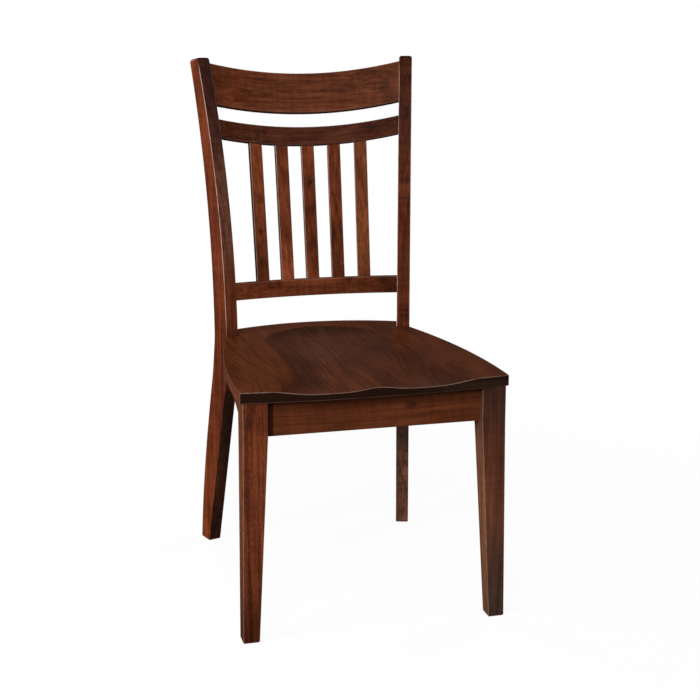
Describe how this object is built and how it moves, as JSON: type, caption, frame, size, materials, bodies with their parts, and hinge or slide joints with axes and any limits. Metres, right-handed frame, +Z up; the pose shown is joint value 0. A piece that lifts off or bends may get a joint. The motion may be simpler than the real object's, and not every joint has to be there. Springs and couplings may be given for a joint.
{
  "type": "side chair",
  "caption": "Armless wooden side chair with a saddled seat, tapered front legs, raked back posts, bowed back rails and upright slats.",
  "frame": {"origin": "centre of the chair's footprint box, on the floor", "axes": "+Z up, -Y towards the front of the seat, +X to the right as seen from the front"},
  "size_m": [0.4868, 0.5905, 0.998],
  "materials": {
    "seat_wood": "satin reddish-brown stain over close-grained hardwood",
    "leg_wood": "satin reddish-brown stain over close-grained hardwood",
    "post_wood": "satin reddish-brown stain over close-grained hardwood",
    "apron_wood": "satin reddish-brown stain over close-grained hardwood",
    "rail_wood": "satin reddish-brown stain over close-grained hardwood",
    "slat_wood": "satin reddish-brown stain over close-grained hardwood",
    "block_wood": "stained hardwood, thinner coat",
    "dowel_wood": "bare beech",
    "screw_steel": "zinc-plated steel"
  },
  "bodies": {
    "root": {"seat": "seat_wood", "front_leg_left": "leg_wood", "front_leg_right": "leg_wood", "back_post_left": "post_wood", "back_post_right": "post_wood", "front_apron": "apron_wood", "side_apron_left": "apron_wood", "side_apron_right": "apron_wood", "rear_apron": "apron_wood", "crest_rail": "rail_wood", "upper_back_rail": "rail_wood", "lower_back_rail": "rail_wood", "slat_1": "slat_wood", "slat_2": "slat_wood", "slat_3": "slat_wood", "slat_4": "slat_wood", "slat_5": "slat_wood", "corner_block_front_left": "block_wood", "corner_block_front_right": "block_wood", "corner_block_rear_left": "block_wood", "corner_block_rear_right": "block_wood", "front_apron_dowels": "dowel_wood", "side_apron_front_dowels": "dowel_wood", "side_apron_rear_dowels": "dowel_wood", "corner_block_screws": "screw_steel", "seat_screws": "screw_steel"}
  },
  "joints": []
}
